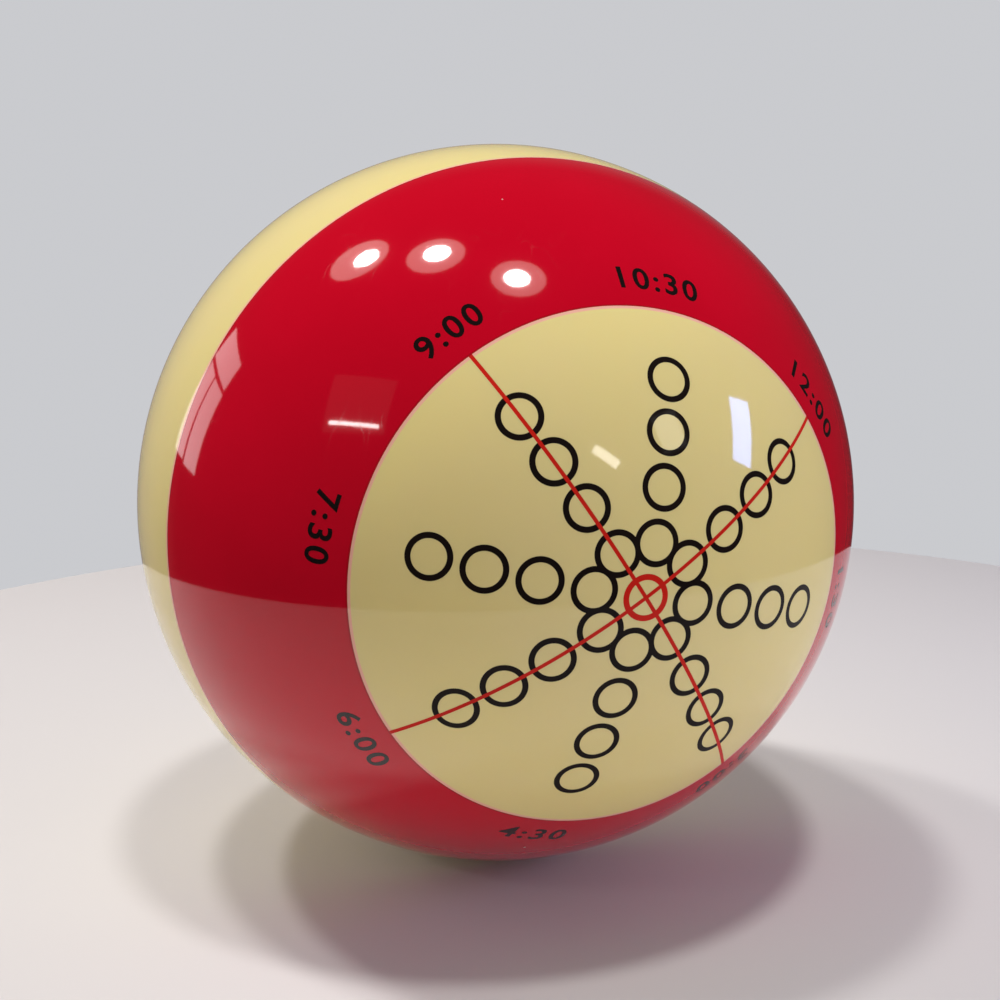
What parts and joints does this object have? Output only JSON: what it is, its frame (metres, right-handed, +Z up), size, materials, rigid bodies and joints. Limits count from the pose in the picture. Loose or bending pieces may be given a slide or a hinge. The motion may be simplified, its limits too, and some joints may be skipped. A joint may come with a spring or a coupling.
{
  "type": "cue ball",
  "caption": "Solid resin practice cue ball: a round pale target face, marked with spokes of rings and an aiming cross that show where the cue tip strikes, inside a broad coloured band.",
  "frame": {"origin": "the ball's centre", "axes": "-Y out of the middle of the target face, +Z up as the ball lies, +X to the right of someone who looks at the face"},
  "size_m": [0.0572, 0.0572, 0.0572],
  "materials": {
    "cream_resin": "polished cast phenolic resin, cream",
    "red_resin": "polished cast phenolic resin, deep red",
    "line_red_resin": "polished filled line, bright red",
    "black_resin": "polished filled ring, black"
  },
  "bodies": {
    "root": {"cream_core": "cream_resin", "red_band": "red_resin", "aiming_cross": "line_red_resin", "inner_ring_rosette": "black_resin", "tip_ring_high_2": "black_resin", "tip_ring_high_3": "black_resin", "tip_ring_high_4": "black_resin", "tip_ring_high_right_2": "black_resin", "tip_ring_high_right_3": "black_resin", "tip_ring_high_right_4": "black_resin", "tip_ring_right_2": "black_resin", "tip_ring_right_3": "black_resin", "tip_ring_right_4": "black_resin", "tip_ring_low_right_2": "black_resin", "tip_ring_low_right_3": "black_resin", "tip_ring_low_right_4": "black_resin", "tip_ring_low_2": "black_resin", "tip_ring_low_3": "black_resin", "tip_ring_low_4": "black_resin", "tip_ring_low_left_2": "black_resin", "tip_ring_low_left_3": "black_resin", "tip_ring_low_left_4": "black_resin", "tip_ring_left_2": "black_resin", "tip_ring_left_3": "black_resin", "tip_ring_left_4": "black_resin", "tip_ring_high_left_2": "black_resin", "tip_ring_high_left_3": "black_resin", "tip_ring_high_left_4": "black_resin"}
  },
  "joints": []
}
